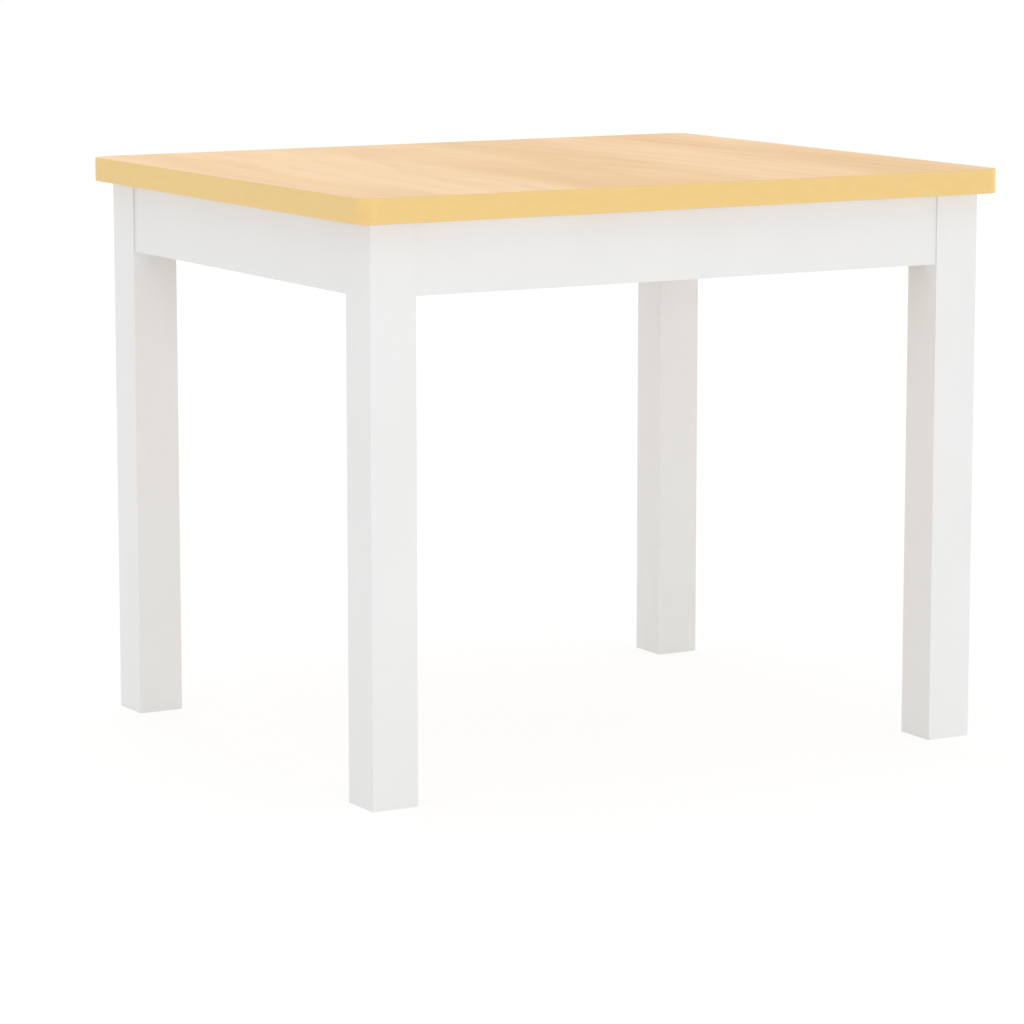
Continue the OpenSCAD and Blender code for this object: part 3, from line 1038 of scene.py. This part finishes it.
def all_screws():
    """The plates' screws, then both screws of each angle."""
    short = wood_screw(APRON_SCREW)
    placed = []
    for end, side in CORNERS:
        for point, way in wing_holes():
            at, out = in_table(corner_matrix(end, side), point, way)
            placed.append((at + out * PLATE_T, out))
    screws(placed, short, "plate_screws")

    placed = [
        (at + DOWN * BRACKET_HOLE + way * BRACKET_T, way) for _, _, at, way in BRACKETS
    ]
    screws(placed, short, "bracket_apron_screws")

    placed = [
        (at + way * BRACKET_HOLE + DOWN * BRACKET_T, DOWN) for _, _, at, way in BRACKETS
    ]
    screws(placed, wood_screw(TOP_SCREW), "bracket_top_screws")


# ---------------------------------------------------------------------------
# The table
# ---------------------------------------------------------------------------
laminate_sheet("top_laminate", sheet_lo, sheet_hi, sheet_hi.z, BEECH)
# The underside takes the darker print, painted shade for the dimmer light under the top
laminate_sheet("underside_laminate", under_lo, under_hi, under_lo.z, BEECH_UNDERSIDE_SHADED)
edge_band()
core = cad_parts["top_core"]
core.data.materials.clear()
core.data.materials.append(RAW)
for end_name, side_name in CORNERS:
    leg(end_name, side_name)
    corner_plate(end_name, side_name)
for apron_name in (*ENDS, *SIDES):
    apron(apron_name)
top_brackets()
bolts_and_nuts()
all_screws()


# ---------------------------------------------------------------------------
# Floor, light and camera
# ---------------------------------------------------------------------------
def floor():
    """A wide pale disc, lit from inside as well, that can't be seen from below."""
    bm = bmesh.new()
    bmesh.ops.create_circle(bm, cap_ends=True, segments=96, radius=FLOOR_R)
    mesh = bpy.data.meshes.new("floor")
    bm.to_mesh(mesh)
    bm.free()
    g = Graph("floor_white")
    g.set(
        Base_Color=(0.60, 0.60, 0.60, 1),
        Roughness=0.9,
        IOR=1.3,
        Emission_Color=(1, 1, 1, 1),
        Emission_Strength=0.42,
    )
    # The glow weakens the table's shadow to the eye and lights nothing
    glow_share = 0.7
    glow = g.add("ShaderNodeEmission").outputs[0]
    to_eye = g.add("ShaderNodeLightPath").outputs["Is Camera Ray"]
    share = g.math("MULTIPLY", to_eye, glow_share)
    lit = g.add("ShaderNodeMixShader", {0: share, 1: g.shader.outputs[0], 2: glow})
    back = g.add("ShaderNodeNewGeometry").outputs["Backfacing"]
    clear = g.add("ShaderNodeBsdfTransparent").outputs[0]
    both = g.add("ShaderNodeMixShader", {0: back, 1: lit.outputs[0], 2: clear})
    g.put(g.surface, both.outputs[0])
    mesh.materials.append(g.material)
    ground = bpy.data.objects.new("floor", mesh)
    ground.location.z = CAD_BOX[0].z
    bpy.context.scene.collection.objects.link(ground)


def softbox(name, at, size, power):
    """A large soft light that looks at the table's middle."""
    data = bpy.data.lights.new(name, "AREA")
    data.shape = "DISK"
    data.size = size
    data.energy = power
    light = bpy.data.objects.new(name, data)
    light.location = at
    middle = (CAD_BOX[0] + CAD_BOX[1]) / 2
    light.rotation_mode = "QUATERNION"
    light.rotation_quaternion = (middle - Vector(at)).to_track_quat("-Z", "Y")
    bpy.context.scene.collection.objects.link(light)


def studio():
    """Soft light all round: a bright horizon and ceiling, and a softbox on each side."""
    world = bpy.data.worlds.new("studio")
    world.use_nodes = True
    tree = world.node_tree
    sky = tree.nodes["Background"]
    sky.inputs["Color"].default_value = (1, 1, 1, 1)
    place = tree.nodes.new("ShaderNodeTexCoord")
    height = tree.nodes.new("ShaderNodeSeparateXYZ")
    tree.links.new(place.outputs["Generated"], height.inputs[0])
    total = tree.nodes.new("ShaderNodeMath")
    # (height from, to, strength from, to): the walls' dip, then the ceiling
    for k, span in enumerate([(0.20, 0.32, 1.0, 0.6), (0.58, 0.72, 0.0, 0.64)]):
        part = tree.nodes.new("ShaderNodeMapRange")
        part.interpolation_type = "SMOOTHSTEP"
        for socket, value in zip(("From Min", "From Max", "To Min", "To Max"), span):
            part.inputs[socket].default_value = value
        tree.links.new(height.outputs["Z"], part.inputs["Value"])
        tree.links.new(part.outputs[0], total.inputs[k])
    tree.links.new(total.outputs[0], sky.inputs["Strength"])
    bpy.context.scene.world = world
    softbox("front", (0.0, -6.0, 0.66), 2.0, 54)
    softbox("left", (-5.9, 0.0, 1.5), 3.0, 18)
    softbox("rear", (0.7, 4.85, 1.3), 2.0, 30)
    softbox("right", (5.9, 0.6, 1.0), 2.5, 26)


def camera():
    """A long lens from the front left, a little above the top."""
    data = bpy.data.cameras.new("camera")
    data.lens = 145.9
    data.clip_start = 0.1
    data.clip_end = 100
    cam = bpy.data.objects.new("camera", data)
    cam.location = (-1.7640, -3.0257, 0.7471)
    yaw, pitch = math.radians(29.889), math.radians(9.174)
    cam.rotation_euler = (math.pi / 2 - pitch, 0, -yaw)
    bpy.context.scene.collection.objects.link(cam)
    bpy.context.scene.camera = cam


floor()
studio()
camera()
bpy.context.scene.view_settings.view_transform = "Standard"
